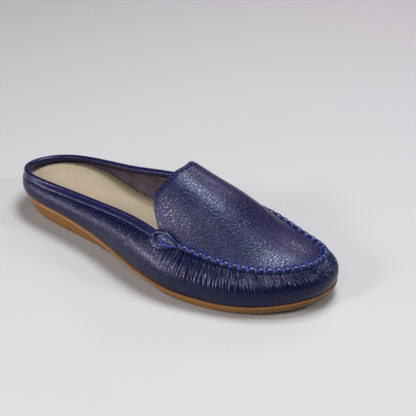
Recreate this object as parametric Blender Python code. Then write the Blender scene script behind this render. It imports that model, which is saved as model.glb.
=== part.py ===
"""Moccasin mule, right shoe: a hollow leather upper with a raised apron seam on a gum sole.

The toe points to +X, the lateral side to -Y and up is +Z. The origin is on the floor,
at the middle of the heel's flat tread. Lengths are in metres.
"""

import math

import bmesh
import bpy
import numpy as np
from mathutils import Vector
from mathutils.bvhtree import BVHTree

# Overall sizes
LENGTH = 0.250
HEEL_WIDTH = 0.0544
BALL_WIDTH = 0.0890
COLLAR_HEIGHT = 0.0280      # floor to the topline at the back of the heel
SEAM_HEIGHT = 0.0436        # floor to the topline where the apron seam starts
TOE_HEIGHT = 0.0309         # floor to the apron seam at the toe tip
INSTEP_HEIGHT = 0.0750      # floor to the top of the throat
CLEARANCE = 0.0003          # between two pieces that touch

# Outsole
HEEL_THICKNESS = 0.0148
FOREPART_THICKNESS = 0.0073
TOE_SPRING = 0.0055         # rise of the tread at the toe end
SOLE_RIM = 0.0008           # how far the sole's top edge stands out past the upper
SOLE_TUCK = 0.0050          # how far the side slopes in down to the tread
RIM_HEIGHT = 0.0012
RIM_ROUNDING = 0.0003
RIM_STEP = 0.0005           # how far the side steps in under the rim
TREAD_ROUNDING = 0.0007
GROOVE_DEPTH = 0.0012

# Upper
WALL = 0.0015
WALL_BULGE = 0.0050
WALL_LEAN = 0.0100          # how far the wall leans in at the ball
LINING = 0.0012             # layer below the apron

# Apron
APRON_THICKNESS = 0.0012
SEAM_INSET = 0.0012         # seam line to the apron's edge
EAR_DEPTH = 0.0077          # how far the throat's edge swings back beside the instep

# Raised seam, its folded ends and the collar band
LIP_HEIGHT = 0.0026
LIP_FOOT = 0.0016           # lip's reach down the wall
LIP_REACH = 0.0020          # lip's reach over the apron
TAB_LENGTH = 0.0130
TAB_DROP = 0.0095
TAB_THICKNESS = 0.0034
TAB_END = 0.16              # how much of its size the loop keeps at its ends
TAB_INNER_LIFT = 0.60       # share of TAB_THICKNESS over the apron's edge
BAND_THICKNESS = 0.0008
BAND_DROP = 0.0074          # band's reach down the outside

# Insole
SEAT_DEPTH = 0.0068         # topline to the insole at the back of the heel
BAND_TURN_IN = SEAT_DEPTH * 0.82    # band's reach down the inside, short of the insole
INSOLE_THICKNESS = 0.0050   # in the forepart
INSOLE_ROUNDING = 0.0014
INSOLE_FIT = 0.0005         # between the insole's edge and the wall
INSOLE_DISH = 0.0006
INSOLE_THINNING = (0.16, 0.52)      # shares of LENGTH between which the insole gets thin

# Sections round the shoe: back of the heel, lateral side, toe tip, medial side.
# along: share of LENGTH. heel and ball: shares of HEEL_WIDTH and BALL_WIDTH across, added.
# climb: share of the way from the end's height up to SEAM_HEIGHT.
# lean, bulge, tuck: shares of WALL_LEAN, WALL_BULGE and SOLE_TUCK.
SECTION_COLUMNS = ("along", "heel", "ball", "climb", "lean", "bulge", "tuck")
SECTIONS = (
    (0.016, 0.00, 0.000, 0.00, -0.08, 0.25, 0.86),
    (0.045, -0.29, 0.000, 0.20, -0.06, 0.32, 1.00),
    (0.188, -0.50, 0.000, 0.45, 0.14, 0.56, 0.92),
    (0.375, -0.25, -0.219, 0.67, 0.35, 0.77, 1.04),
    (0.585, 0.00, -0.526, 0.87, 0.68, 0.99, 0.82),
    (0.635, 0.00, -0.545, 0.58, 0.83, 1.00, 0.58),
    (0.725, 0.00, -0.527, 0.28, 0.95, 0.76, 0.47),
    (0.850, 0.00, -0.424, 0.01, 0.90, 0.50, 0.40),
    (0.934, 0.00, -0.255, -0.04, 0.80, 0.44, 0.38),
    (1.000, 0.00, 0.083, 0.00, 0.77, 0.42, 0.36),
    (0.977, 0.00, 0.302, -0.06, 0.74, 0.36, 0.36),
    (0.885, 0.00, 0.425, -0.02, 0.85, 0.44, 0.38),
    (0.753, 0.00, 0.474, 0.35, 0.92, 0.75, 0.42),
    (0.625, 0.00, 0.428, 0.66, 0.87, 0.98, 0.61),
    (0.528, 0.00, 0.387, 1.00, 0.62, 0.99, 0.82),
    (0.332, 0.25, 0.129, 0.76, 0.30, 0.74, 0.88),
    (0.180, 0.50, 0.000, 0.25, 0.15, 0.58, 0.85),
    (0.045, 0.29, 0.000, 0.00, 0.00, 0.36, 0.96),
)
LATERAL_START = 4           # section where the seam starts on the lateral side
TOE_TIP = 9
MEDIAL_START = 14

# Sole thickness: along, share of the way from the forepart's thickness to the heel's
SOLE_PROFILE = (
    (0.00, 0.60), (0.04, 0.85), (0.11, 1.00), (0.20, 1.00), (0.35, 0.55),
    (0.50, 0.12), (0.60, 0.02), (0.75, -0.05), (0.85, -0.11), (1.05, -0.13),
)
SPRING_START = 0.655        # share of LENGTH where the tread starts to rise
GROOVES = (                 # place along the shoe, width as a share of GROOVE_DEPTH
    (0.058, 1.7), (0.230, 1.7), (0.369, 1.8), (0.666, 2.4), (0.848, 3.6),
)

# Apron, from the throat to the toe tip. way: share of the apron's length. rise: share of
# the throat's height over the seam. arch, fullness: powers of the curve across, where a
# larger arch is flatter on top and a smaller fullness is steeper at the seam.
CROWN_COLUMNS = ("way", "rise", "arch", "fullness")
CROWN = (
    (0.00, 1.00, 2.2, 0.82),
    (0.20, 0.94, 2.2, 0.84),
    (0.40, 0.77, 2.2, 0.88),
    (0.60, 0.42, 2.2, 0.94),
    (0.80, 0.19, 2.1, 1.00),
    (0.95, 0.08, 2.1, 1.00),
    (1.00, 0.00, 2.1, 1.00),
)
# Throat's edge: place across, share of EAR_DEPTH behind the line between the seam's ends
THROAT_EDGE = (
    (-1.00, 0.00), (-0.75, 1.15), (-0.50, 0.55), (-0.25, 0.08), (0.00, -0.42),
    (0.25, -0.48), (0.50, -0.10), (0.75, 0.55), (1.00, 0.00),
)
THROAT_FADE = 0.30          # way along the apron over which the edge's swing fades

# Loop's section, from its lower edge up to the seam. drop: share of TAB_DROP below the seam.
# lift: share of TAB_THICKNESS off the wall.
TAB_COLUMNS = ("drop", "lift")
TAB_PROFILE = ((1.00, 0.20), (0.92, 0.60), (0.68, 0.92), (0.38, 1.00), (0.12, 1.00), (0.00, 0.92))

# Where the origin lies, and how finely the pieces are divided
HEEL_REST = 0.144           # share of LENGTH
REAR_STEPS = 22             # heel to seam end, on each side
FRONT_STEPS = 24            # seam end to toe tip, on each side
APRON_STEPS = 12            # across the apron, and round its toe
TOE_STEPS = APRON_STEPS // 2
EDGE_CROWDING = 1.25        # how much closer the apron's columns lie near its edge, in radians
TAB_STEPS = 13              # along a folded seam end
SHEET_STEPS = 4             # across the sole and the insole


def smooth(places, values, at):
    """Natural cubic spline through values at places, read at other places."""
    places = np.asarray(places, float)
    values = np.asarray(values, float)
    at = np.asarray(at, float)
    count = len(places)
    gap = np.diff(places)
    rise = (np.diff(values, axis=0).T / gap).T
    system = np.eye(count)
    load = np.zeros_like(values)
    for i in range(1, count - 1):
        system[i, i - 1:i + 2] = gap[i - 1], 2 * (gap[i - 1] + gap[i]), gap[i]
        load[i] = 6 * (rise[i] - rise[i - 1])
    bend = np.linalg.solve(system, load)
    i = np.clip(np.searchsorted(places, at) - 1, 0, count - 2)
    h = gap[i]
    a = (places[i + 1] - at) / h
    b = 1 - a
    curve = a * values[i].T + b * values[i + 1].T
    curve = curve + ((a ** 3 - a) * bend[i].T + (b ** 3 - b) * bend[i + 1].T) * h * h / 6
    return curve.T


def unit(vectors):
    """Vectors scaled to length one."""
    return vectors / np.linalg.norm(vectors, axis=-1, keepdims=True)


def spring_lift(x):
    """Height of the tread over the floor."""
    start = (SPRING_START - HEEL_REST) * LENGTH
    end = (1 - HEEL_REST) * LENGTH
    return TOE_SPRING * np.clip((x - start) / (end - start), 0, None) ** 2


def sole_top(x):
    """Height of the outsole's upper face."""
    places, shares = zip(*SOLE_PROFILE)
    share = smooth(places, shares, x / LENGTH + HEEL_REST)
    return FOREPART_THICKNESS + (HEEL_THICKNESS - FOREPART_THICKNESS) * share + spring_lift(x)


def section_lengths():
    """The table of sections as lengths: x, y, top height, lean, bulge, tuck."""
    rows = []
    for index, section in enumerate(SECTIONS):
        row = dict(zip(SECTION_COLUMNS, section))
        front = LATERAL_START < index < MEDIAL_START
        end_height = TOE_HEIGHT if front else COLLAR_HEIGHT
        rows.append((
            (row["along"] - HEEL_REST) * LENGTH,
            row["heel"] * HEEL_WIDTH + row["ball"] * BALL_WIDTH,
            end_height + row["climb"] * (SEAM_HEIGHT - end_height),
            row["lean"] * WALL_LEAN,
            row["bulge"] * WALL_BULGE,
            row["tuck"] * SOLE_TUCK,
        ))
    return np.array(rows)


ROWS = section_lengths()
CHORDS = np.linalg.norm(np.roll(ROWS[:, :2], -1, axis=0) - ROWS[:, :2], axis=1)
ROUND = CHORDS.sum()
ROW_PLACES = np.concatenate([[0], np.cumsum(CHORDS)[:-1]])
LOOP_PLACES = np.concatenate([ROW_PLACES - ROUND, ROW_PLACES, ROW_PLACES + ROUND])
LOOP_ROWS = np.tile(ROWS, (3, 1))
LATERAL_END, TOE_END, MEDIAL_END = ROW_PLACES[[LATERAL_START, TOE_TIP, MEDIAL_START]]


def outline(places):
    """Lengths at places round the loop, and the plan direction that points out."""
    values = smooth(LOOP_PLACES, LOOP_ROWS, places)
    reach = LENGTH * 1e-4
    ahead = smooth(LOOP_PLACES, LOOP_ROWS, places + reach)[..., :2]
    behind = smooth(LOOP_PLACES, LOOP_ROWS, places - reach)[..., :2]
    along = unit(ahead - behind)
    return values, np.stack([along[..., 1], -along[..., 0]], axis=-1)


def wall_point(places, share):
    """Outer face of the upper's wall, from the sole (share 0) to the topline or seam (1)."""
    values, out = outline(places)
    x, y, top, lean, bulge, _ = np.moveaxis(values, -1, 0)
    floor = sole_top(x) + CLEARANCE
    turn = share * math.pi / 2
    swell = np.sin(np.pi * share) * (1 - share ** 4)
    push = bulge * swell - lean * (1 - np.cos(turn))
    rise = (top - floor) * (np.sin(turn) + share) / 2
    return np.stack([x + out[..., 0] * push, y + out[..., 1] * push, floor + rise], axis=-1)


def wall_normal(places, share):
    """Direction that points out of the wall."""
    reach = LENGTH * 1e-3
    along = wall_point(places + reach, share) - wall_point(places - reach, share)
    lower = np.clip(share - 0.02, 0, 1)
    upper = np.clip(share + 0.02, 0, 1)
    up = wall_point(places, upper) - wall_point(places, lower)
    return unit(np.cross(along, up))


def wall_offset(places, share, depth):
    """Point at a depth below the wall's outer face; a negative depth lies outside."""
    return wall_point(places, share) - wall_normal(places, share) * depth


SHARES = np.linspace(1, 0, 61)


def share_at_drop(places, drop):
    """Share of the wall's height that lies a drop below its top, along the face."""
    run = np.array([wall_point(places, share) for share in SHARES])
    steps = np.linalg.norm(np.diff(run, axis=0), axis=-1)
    depth = np.concatenate([np.zeros((1, len(places))), np.cumsum(steps, axis=0)])
    drops = np.broadcast_to(drop, places.shape)
    return np.array([np.interp(d, depth[:, i], SHARES) for i, d in enumerate(drops)])


def share_at_height(places, heights):
    """Share of the wall's height at which its face reaches a height over the floor."""
    run = np.array([wall_point(places, share)[:, 2] for share in SHARES[::-1]])
    return np.array([np.interp(z, run[:, i], SHARES[::-1]) for i, z in enumerate(heights)])


def round_the_shoe():
    """Places of the stations, from the heel's back along the lateral side and home."""
    clear = TAB_LENGTH / 2 + CLEARANCE
    lateral = np.concatenate([
        np.linspace(0, LATERAL_END - clear, REAR_STEPS), [LATERAL_END],
        np.linspace(LATERAL_END + clear, TOE_END, FRONT_STEPS),
    ])
    medial = np.concatenate([
        np.linspace(TOE_END, MEDIAL_END - clear, FRONT_STEPS)[1:], [MEDIAL_END],
        np.linspace(MEDIAL_END + clear, ROUND, REAR_STEPS)[:-1],
    ])
    return np.concatenate([lateral, medial])


PLACES = round_the_shoe()
COUNT = len(PLACES)
LATERAL_KNOT = REAR_STEPS
TOE = REAR_STEPS + FRONT_STEPS
MEDIAL_KNOT = COUNT - REAR_STEPS
FRONT = np.arange(LATERAL_KNOT, MEDIAL_KNOT + 1)
REAR = np.arange(MEDIAL_KNOT, COUNT + LATERAL_KNOT + 1) % COUNT


def inset_seam(places, inset):
    """Seam line moved in, in plan."""
    _, out = outline(places)
    points = wall_point(places, 1.0)
    points[..., :2] -= out * inset
    return points


def apron_grid():
    """Outer face of the apron: rows from throat to toe arc, columns lateral to medial."""
    lateral = PLACES[LATERAL_KNOT:TOE - TOE_STEPS + 1]
    medial = PLACES[TOE + TOE_STEPS:MEDIAL_KNOT + 1][::-1]
    arc = inset_seam(PLACES[TOE - TOE_STEPS:TOE + TOE_STEPS + 1], SEAM_INSET)
    across = np.sin(np.linspace(-1, 1, APRON_STEPS + 1) * EDGE_CROWDING)
    across = across / across[-1]
    start = inset_seam(lateral, SEAM_INSET)[:, None]
    end = inset_seam(medial, SEAM_INSET)[:, None]
    grid = start + (end - start) * ((across + 1) / 2)[None, :, None]
    forward = np.linspace(0, 1, len(lateral))[:, None, None] ** 2
    grid = grid + forward * (arc - grid[-1])
    middle = grid[:, TOE_STEPS, 0]
    way = (middle - middle[0]) / (middle[-1] - middle[0])
    crown = dict(zip(CROWN_COLUMNS, zip(*CROWN)))
    height = (INSTEP_HEIGHT - grid[0, TOE_STEPS, 2]) * smooth(crown["way"], crown["rise"], way)
    arch = smooth(crown["way"], crown["arch"], way)[:, None]
    fullness = smooth(crown["way"], crown["fullness"], way)[:, None]
    grid[..., 2] += height[:, None] * np.clip(1 - np.abs(across) ** arch, 0, None) ** fullness
    swing = EAR_DEPTH * smooth(*zip(*THROAT_EDGE), across)
    grid[..., 0] -= swing * np.clip(1 - way / THROAT_FADE, 0, 1)[:, None] ** 2
    return grid


def grid_edge(grid):
    """Edge of the apron's grid from the lateral seam end round the toe to the medial one."""
    return np.concatenate([grid[:, 0], grid[-1, 1:-1], grid[::-1, -1]])


class Shell:
    """Points and faces of one closed piece."""

    def __init__(self):
        self.points = []
        self.faces = []

    def row(self, points):
        """Add a row of points and return their numbers."""
        start = len(self.points)
        self.points.extend(tuple(point) for point in points)
        return list(range(start, len(self.points)))

    def strip(self, first, second, closed=False):
        """Faces between two rows; equal neighbours in a row shrink a face to a triangle."""
        pairs = list(zip(first, first[1:], second[1:], second))
        if closed:
            pairs.append((first[-1], first[0], second[0], second[-1]))
        for corners in pairs:
            face = list(dict.fromkeys(corners))
            if len(face) > 2:
                self.faces.append(face)

    def cap(self, ring):
        """One face over a ring."""
        self.faces.append(list(ring))

    def finish(self, name, colour, roughness, sharp_angle=35, triangles=False):
        """Make the object, with its faces pointing out."""
        mesh = bpy.data.meshes.new(name)
        form = form_of(self)
        if triangles:
            bmesh.ops.triangulate(form, faces=form.faces)
        bmesh.ops.recalc_face_normals(form, faces=form.faces)
        form.to_mesh(mesh)
        form.free()
        mesh.shade_smooth()
        mesh.set_sharp_from_angle(angle=math.radians(sharp_angle))
        piece = bpy.data.objects.new(name, mesh)
        bpy.context.scene.collection.objects.link(piece)
        mesh.materials.append(material(name, colour, roughness))
        return piece


def material(name, colour, roughness):
    """Plain surface of one colour."""
    surface = bpy.data.materials.new(name)
    surface.use_nodes = True
    shader = surface.node_tree.nodes["Principled BSDF"]
    shader.inputs["Base Color"].default_value = (*colour, 1)
    shader.inputs["Roughness"].default_value = roughness
    return surface


def add_grid(shell, grid):
    """Add a grid's points and faces and return the numbers of its points."""
    rows = [shell.row(points) for points in grid]
    for first, second in zip(rows, rows[1:]):
        shell.strip(first, second)
    return np.array(rows)


def form_of(shell):
    """Editable mesh of a shell."""
    form = bmesh.new()
    corners = [form.verts.new(point) for point in shell.points]
    for face in shell.faces:
        form.faces.new([corners[number] for number in face])
    return form


def upward_normals(grid):
    """Directions that point up out of a grid."""
    shell = Shell()
    add_grid(shell, grid)
    form = form_of(shell)
    form.normal_update()
    normals = np.array([corner.normal for corner in form.verts]).reshape(grid.shape)
    form.free()
    return normals * np.sign(normals[..., 2].sum())


APRON = apron_grid()
APRON_UP = upward_normals(APRON)


def apron_offset(depth):
    """Apron's face moved in by a depth."""
    return APRON - APRON_UP * depth


def fill_between(shell, ring, height):
    """Sheet inside a ring, its height a function of place, joined across in ruled rows."""
    half = COUNT // 2
    rows = [[ring[0]] * (SHEET_STEPS + 1)]
    shares = np.linspace(0, 1, SHEET_STEPS + 1)[1:-1]
    for i in range(1, half):
        lateral = np.array(shell.points[ring[i]])
        medial = np.array(shell.points[ring[COUNT - i]])
        inner = lateral + (medial - lateral) * shares[:, None]
        inner[:, 2] = height(inner, shares)
        rows.append([ring[i]] + shell.row(inner) + [ring[COUNT - i]])
    rows.append([ring[half]] * (SHEET_STEPS + 1))
    for first, second in zip(rows, rows[1:]):
        shell.strip(first, second)


def loft(name, sections, colour, roughness):
    """Closed piece through rings of points, with a face over each end."""
    shell = Shell()
    rings = [shell.row(section) for section in sections]
    for first, second in zip(rings, rings[1:]):
        shell.strip(first, second, closed=True)
    shell.cap(rings[0])
    shell.cap(rings[-1])
    return shell.finish(name, colour, roughness)


def make_upper():
    """Hollow wall and apron bed, open at the heel, at the throat and underneath."""
    shell = Shell()
    foot = share_at_drop(PLACES, LIP_FOOT)
    outer_shares = [np.full(COUNT, s) for s in (0, 0.14, 0.28, 0.42, 0.56, 0.70, 0.82)]
    outer_shares += [foot, np.ones(COUNT)]
    inner_shares = [np.full(COUNT, s) for s in (0, 0.14, 0.28, 0.49, 0.70, 0.86, 1)]
    outer = [shell.row(wall_point(PLACES, share)) for share in outer_shares]
    inner_rows = [wall_offset(PLACES, share, WALL) for share in inner_shares]
    inner_rows[0][:, 2] = sole_top(inner_rows[0][:, 0]) + CLEARANCE
    inner = [shell.row(points) for points in inner_rows]
    for rows in (outer, inner):
        for first, second in zip(rows, rows[1:]):
            shell.strip(first, second, closed=True)
    shell.strip(outer[0], inner[0], closed=True)
    shell.strip([outer[-1][i] for i in REAR], [inner[-1][i] for i in REAR])
    bed = add_grid(shell, apron_offset(APRON_THICKNESS + CLEARANCE))
    lining = add_grid(shell, apron_offset(APRON_THICKNESS + CLEARANCE + LINING))
    for rows, wall in ((bed, outer[-1]), (lining, inner[-1])):
        shell.strip([wall[i] for i in FRONT], list(grid_edge(rows)))
    shell.strip(list(bed[0]), list(lining[0]))
    for knot, side in ((LATERAL_KNOT, 0), (MEDIAL_KNOT, -1)):
        shell.cap([outer[-1][knot], inner[-1][knot], lining[0][side], bed[0][side]])
    return shell.finish("upper", (0.020, 0.026, 0.085), 0.45, sharp_angle=50)


def make_apron():
    """Leather plug that lies in the upper's bed."""
    shell = Shell()
    top = add_grid(shell, APRON)
    under = add_grid(shell, apron_offset(APRON_THICKNESS))
    shell.strip(list(grid_edge(top)), list(grid_edge(under)))
    shell.strip(list(top[0]), list(under[0]))
    return shell.finish("apron", (0.024, 0.026, 0.095), 0.42)


def apron_rest(points, inward):
    """Points on the apron's face, a reach in from its edge, raised by the clearance."""
    shell = Shell()
    add_grid(shell, APRON)
    form = form_of(shell)
    bmesh.ops.triangulate(form, faces=form.faces)
    tree = BVHTree.FromBMesh(form)
    form.free()
    rests = []
    for point, direction in zip(points, inward):
        aim = Vector(point + direction * LIP_REACH)
        place, normal, _, _ = tree.find_nearest(aim)
        if normal.z < 0:
            normal.negate()
        rests.append(np.array(place + normal * CLEARANCE))
    return np.array(rests)


def lip_section(foot, seam, edge, rest, outward, height):
    """Closed ring of a raised lip over the seam: its base points and its rounded back."""
    base = unit(rest - foot)
    up = unit(outward - base * outward.dot(base))
    lifts = np.array([0.55, 0.90, 1.00, 0.90, 0.55]) * height
    shares = np.array([1.02, 0.82, 0.50, 0.18, -0.02])
    back = foot + (rest - foot) * shares[:, None] + up * lifts[:, None]
    return np.concatenate([[foot, seam, edge, rest], back])


def make_seam():
    """Raised lip along the seam, from one folded end round the toe to the other."""
    front = FRONT[1:-1]
    places = PLACES[front]
    foot = wall_offset(places, share_at_drop(places, LIP_FOOT), -CLEARANCE)
    seam = wall_offset(places, np.ones(len(places)), -CLEARANCE)
    edge_line = grid_edge(APRON)[1:-1]
    edge_up = grid_edge(APRON_UP)[1:-1]
    edge = edge_line + edge_up * CLEARANCE
    _, out = outline(places)
    level = np.column_stack([-out, np.zeros(len(out))])
    inward = unit(level - edge_up * (level * edge_up).sum(axis=1, keepdims=True))
    rest = apron_rest(edge_line, inward)
    outward = wall_normal(places, np.ones(len(places))) + edge_up
    rings = zip(foot, seam, edge, rest, outward)
    sections = [lip_section(*ring, LIP_HEIGHT) for ring in rings]
    return loft("apron_seam", sections, (0.018, 0.024, 0.080), 0.5)


def make_tab(name, middle, ahead):
    """Folded loop of leather where the seam starts, over the wall's top edge."""
    profile = dict(zip(TAB_COLUMNS, zip(*TAB_PROFILE)))
    sections = []
    for turn in np.linspace(-1, 1, TAB_STEPS) * math.pi / 2:
        way = math.sin(turn)
        swell = TAB_END + (1 - TAB_END) * abs(math.cos(turn)) ** 0.8
        place = np.array([middle + ahead * way * TAB_LENGTH / 2])
        drops = TAB_DROP * swell * np.array(profile["drop"])
        shares = np.array([share_at_drop(place, drop)[0] for drop in drops])
        base = np.array([wall_offset(place, np.array([share]), -CLEARANCE)[0] for share in shares])
        normals = np.array([wall_normal(place, np.array([share]))[0] for share in shares])
        over = inset_seam(place, SEAM_INSET)[0]
        over = over + normals[-1] * (APRON_THICKNESS if way > 0 else 2 * CLEARANCE)
        under = np.vstack([base, over])
        normals = np.vstack([normals, normals[-1]])
        lifts = TAB_THICKNESS * swell * np.array(profile["lift"] + (TAB_INNER_LIFT,))
        back = under + normals * lifts[:, None]
        sections.append(np.vstack([under, back[::-1]]))
    return loft(name, sections, (0.022, 0.030, 0.095), 0.5)


def make_band():
    """Folded strip over the topline, from the medial seam end round the heel."""
    places = PLACES[REAR[1:-1]]
    top = np.ones(len(places))
    gap = CLEARANCE
    thick = CLEARANCE + BAND_THICKNESS
    tangent = unit(wall_point(places, top) - wall_point(places, top * 0.97))
    outside = [share_at_drop(places, BAND_DROP * share) for share in (1.0, 0.66, 0.33, 0.0)]
    inside = [share_at_drop(places, BAND_TURN_IN * share) for share in (0.0, 0.5, 1.0)]
    ring = [wall_offset(places, share, -gap) for share in outside[:-1]]
    ring.append(wall_offset(places, top, -gap) + tangent * gap)
    ring.append(wall_offset(places, top, WALL + gap) + tangent * gap)
    ring += [wall_offset(places, share, WALL + gap) for share in inside[1:]]
    ring += [wall_offset(places, share, WALL + thick) for share in inside[:0:-1]]
    ring.append(wall_offset(places, top, WALL + thick * 0.7) + tangent * thick * 0.7)
    ring.append(wall_offset(places, top, WALL / 2) + tangent * thick)
    ring.append(wall_offset(places, top, -thick * 0.7) + tangent * thick * 0.7)
    ring += [wall_offset(places, share, -thick) for share in outside[-2::-1]]
    sections = np.stack(ring, axis=1)
    return loft("collar_band", sections, (0.016, 0.020, 0.068), 0.48)


def insole_height(values):
    """Height of the insole's upper face at its edge."""
    x = values[:, 0]
    start, end = INSOLE_THINNING
    fade = np.clip((x / LENGTH + HEEL_REST - start) / (end - start), 0, 1)
    fade = fade * fade * (3 - 2 * fade)
    seat = COLLAR_HEIGHT - SEAT_DEPTH - sole_top(ROWS[0, 0])
    return sole_top(x) + seat + (INSOLE_THICKNESS - seat) * fade


def dished(heights, shares):
    """Heights lowered towards the middle of the sheet."""
    return heights - INSOLE_DISH * 4 * shares * (1 - shares)


def make_insole():
    """Padded insole inside the upper, on the outsole."""
    values, out = outline(PLACES)
    height = insole_height(values)
    floor = sole_top(values[:, 0]) + CLEARANCE
    brim_height = height - INSOLE_ROUNDING
    shell = Shell()
    bottom = wall_offset(PLACES, np.zeros(COUNT), WALL + INSOLE_FIT)
    bottom[:, 2] = sole_top(bottom[:, 0]) + CLEARANCE
    middle = share_at_height(PLACES, (floor + brim_height) / 2)
    side = wall_offset(PLACES, middle, WALL + INSOLE_FIT)
    brim = wall_offset(PLACES, share_at_height(PLACES, brim_height), WALL + INSOLE_FIT)
    brim[:, 2] = brim_height
    brow = brim.copy()
    brow[:, :2] -= out * INSOLE_ROUNDING
    brow[:, 2] = height
    rings = [shell.row(points) for points in (bottom, side, brim, brow)]
    for first, second in zip(rings, rings[1:]):
        shell.strip(first, second, closed=True)
    fill_between(shell, rings[-1], lambda points, shares: dished(points[:, 2], shares))
    fill_between(shell, rings[0], lambda points, shares: sole_top(points[:, 0]) + CLEARANCE)
    return shell.finish("insole", (0.52, 0.46, 0.36), 0.75)


def make_outsole():
    """Gum sole with a low wedge heel, toe spring and grooves across the tread."""
    values, out = outline(PLACES)
    x, y, _, _, _, tuck = values.T
    top = sole_top(x)
    tread = spring_lift(x)
    ledge = top - RIM_HEIGHT

    def side(push, height):
        return np.column_stack([x + out[:, 0] * push, y + out[:, 1] * push, height])

    shoulder = SOLE_RIM - RIM_STEP
    levels = [
        side(SOLE_RIM - RIM_ROUNDING, top),
        side(SOLE_RIM, top - RIM_ROUNDING),
        side(SOLE_RIM, ledge),
        side(shoulder, ledge - RIM_STEP),
        side((shoulder - tuck) / 2, (ledge + tread) / 2),
        side(-tuck, tread + TREAD_ROUNDING),
        side(-tuck - TREAD_ROUNDING, tread),
    ]
    levels[0][:, 2] = sole_top(levels[0][:, 0])
    levels[-1][:, 2] = spring_lift(levels[-1][:, 0])
    shell = Shell()
    rings = [shell.row(points) for points in levels]
    for first, second in zip(rings, rings[1:]):
        shell.strip(first, second, closed=True)
    fill_between(shell, rings[0], lambda points, shares: sole_top(points[:, 0]))
    fill_between(shell, rings[-1], lambda points, shares: spring_lift(points[:, 0]))
    sole = shell.finish("outsole", (0.30, 0.145, 0.045), 0.55, triangles=True)
    for number, (along, width) in enumerate(GROOVES):
        cut_groove(sole, number, (along - HEEL_REST) * LENGTH, width * GROOVE_DEPTH)
    return sole


def cut_groove(sole, number, x, width):
    """Groove across the tread, cut by a hidden block."""
    bpy.ops.mesh.primitive_cube_add(size=1, location=(x, 0, float(spring_lift(x))))
    cutter = bpy.context.object
    cutter.name = f"groove_cutter_{number}"
    cutter.dimensions = (width, BALL_WIDTH * 2, GROOVE_DEPTH * 2)
    cutter.hide_render = True
    cutter.display_type = "WIRE"
    groove = sole.modifiers.new(f"Groove {number}", "BOOLEAN")
    groove.operation = "DIFFERENCE"
    groove.solver = "EXACT"
    groove.object = cutter


for old in list(bpy.data.objects):
    bpy.data.objects.remove(old, do_unlink=True)

make_outsole()
make_insole()
make_upper()
make_apron()
make_seam()
make_band()
make_tab("seam_tab_lateral", LATERAL_END, 1)
make_tab("seam_tab_medial", MEDIAL_END, -1)
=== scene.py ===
"""Moccasin mule, right shoe: navy pebbled leather on a gum sole, with its camera and studio.

The toe points to +X, the lateral side to -Y and up is +Z. Lengths are in metres.
"""

import math

import bmesh
import bpy
import numpy as np
from mathutils import Matrix, Vector
from mathutils.bvhtree import BVHTree


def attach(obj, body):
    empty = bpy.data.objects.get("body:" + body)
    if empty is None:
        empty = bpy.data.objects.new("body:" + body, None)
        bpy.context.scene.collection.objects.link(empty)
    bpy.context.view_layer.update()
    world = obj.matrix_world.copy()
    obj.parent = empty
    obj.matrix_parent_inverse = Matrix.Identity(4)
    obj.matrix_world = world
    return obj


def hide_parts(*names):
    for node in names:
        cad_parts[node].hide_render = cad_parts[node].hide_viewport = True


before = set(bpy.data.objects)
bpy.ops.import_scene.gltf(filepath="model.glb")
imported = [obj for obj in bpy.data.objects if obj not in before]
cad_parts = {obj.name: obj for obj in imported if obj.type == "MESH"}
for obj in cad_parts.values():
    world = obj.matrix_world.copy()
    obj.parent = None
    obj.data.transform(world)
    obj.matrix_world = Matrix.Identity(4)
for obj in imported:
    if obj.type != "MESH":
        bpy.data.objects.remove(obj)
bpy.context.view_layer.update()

# Sizes of the shoe
MM = 0.001
LENGTH = 0.250
HEEL_WIDTH = 0.0544
BALL_WIDTH = 0.0890
COLLAR_HEIGHT = 0.0280
SEAM_HEIGHT = 0.0436
TOE_HEIGHT = 0.0309
INSTEP_HEIGHT = 0.0750
CLEARANCE = 0.0003
HEEL_THICKNESS = 0.0148
FOREPART_THICKNESS = 0.0073
TOE_SPRING = 0.0055
WALL = 0.0015
SKIN = 0.0009               # leather of the wall, outside its lining
WALL_BULGE = 0.0050
WALL_LEAN = 0.0100
QUARTER_SAG = 0.0026
APRON_THICKNESS = 0.0012
LINING = 0.0012
SEAM_INSET = 0.0012
EAR_DEPTH = 0.0077
THROAT_DROOP = 0.0011       # how far the throat's edge bends down
THROAT_BEND = 0.0045        # and the length over which it bends
LIP_HEIGHT = 0.0026
LIP_FOOT = 0.0016
LIP_REACH = 0.0020
LIP_FULLNESS = 0.98
BAND_DROP = 0.0074
BAND_TURN_IN = 0.0055
SEAT_DEPTH = 0.0068
INSOLE_THICKNESS = 0.0050
INSOLE_FIT = 0.0005
INSOLE_THINNING = (0.16, 0.52)
INSOLE_ROUNDING = 0.0016
INSOLE_HOLLOW = 0.0006
CHANNEL_INSET = 0.0063
CHANNEL_WIDTH = 0.00062
CHANNEL_DEPTH = 0.00055
CHANNEL_FRONT = 0.565       # share of the length at which the channel turns across
KNOT_BACK = 0.0020          # reach of a folded seam end behind its middle
KNOT_FRONT = 0.0166         # and ahead of it, where it narrows to the lip

# Pitch and length of the stitches in each row
WHIP_PITCH = 0.0064
COLLAR_PITCH = 0.0028
COLLAR_STITCH = 0.0015
THROAT_PITCH = 0.0031
THROAT_STITCH = 0.0015
THROAT_STITCH_INSET = 0.0018
INSOLE_PITCH = 0.0034
INSOLE_STITCH = 0.0022

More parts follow.
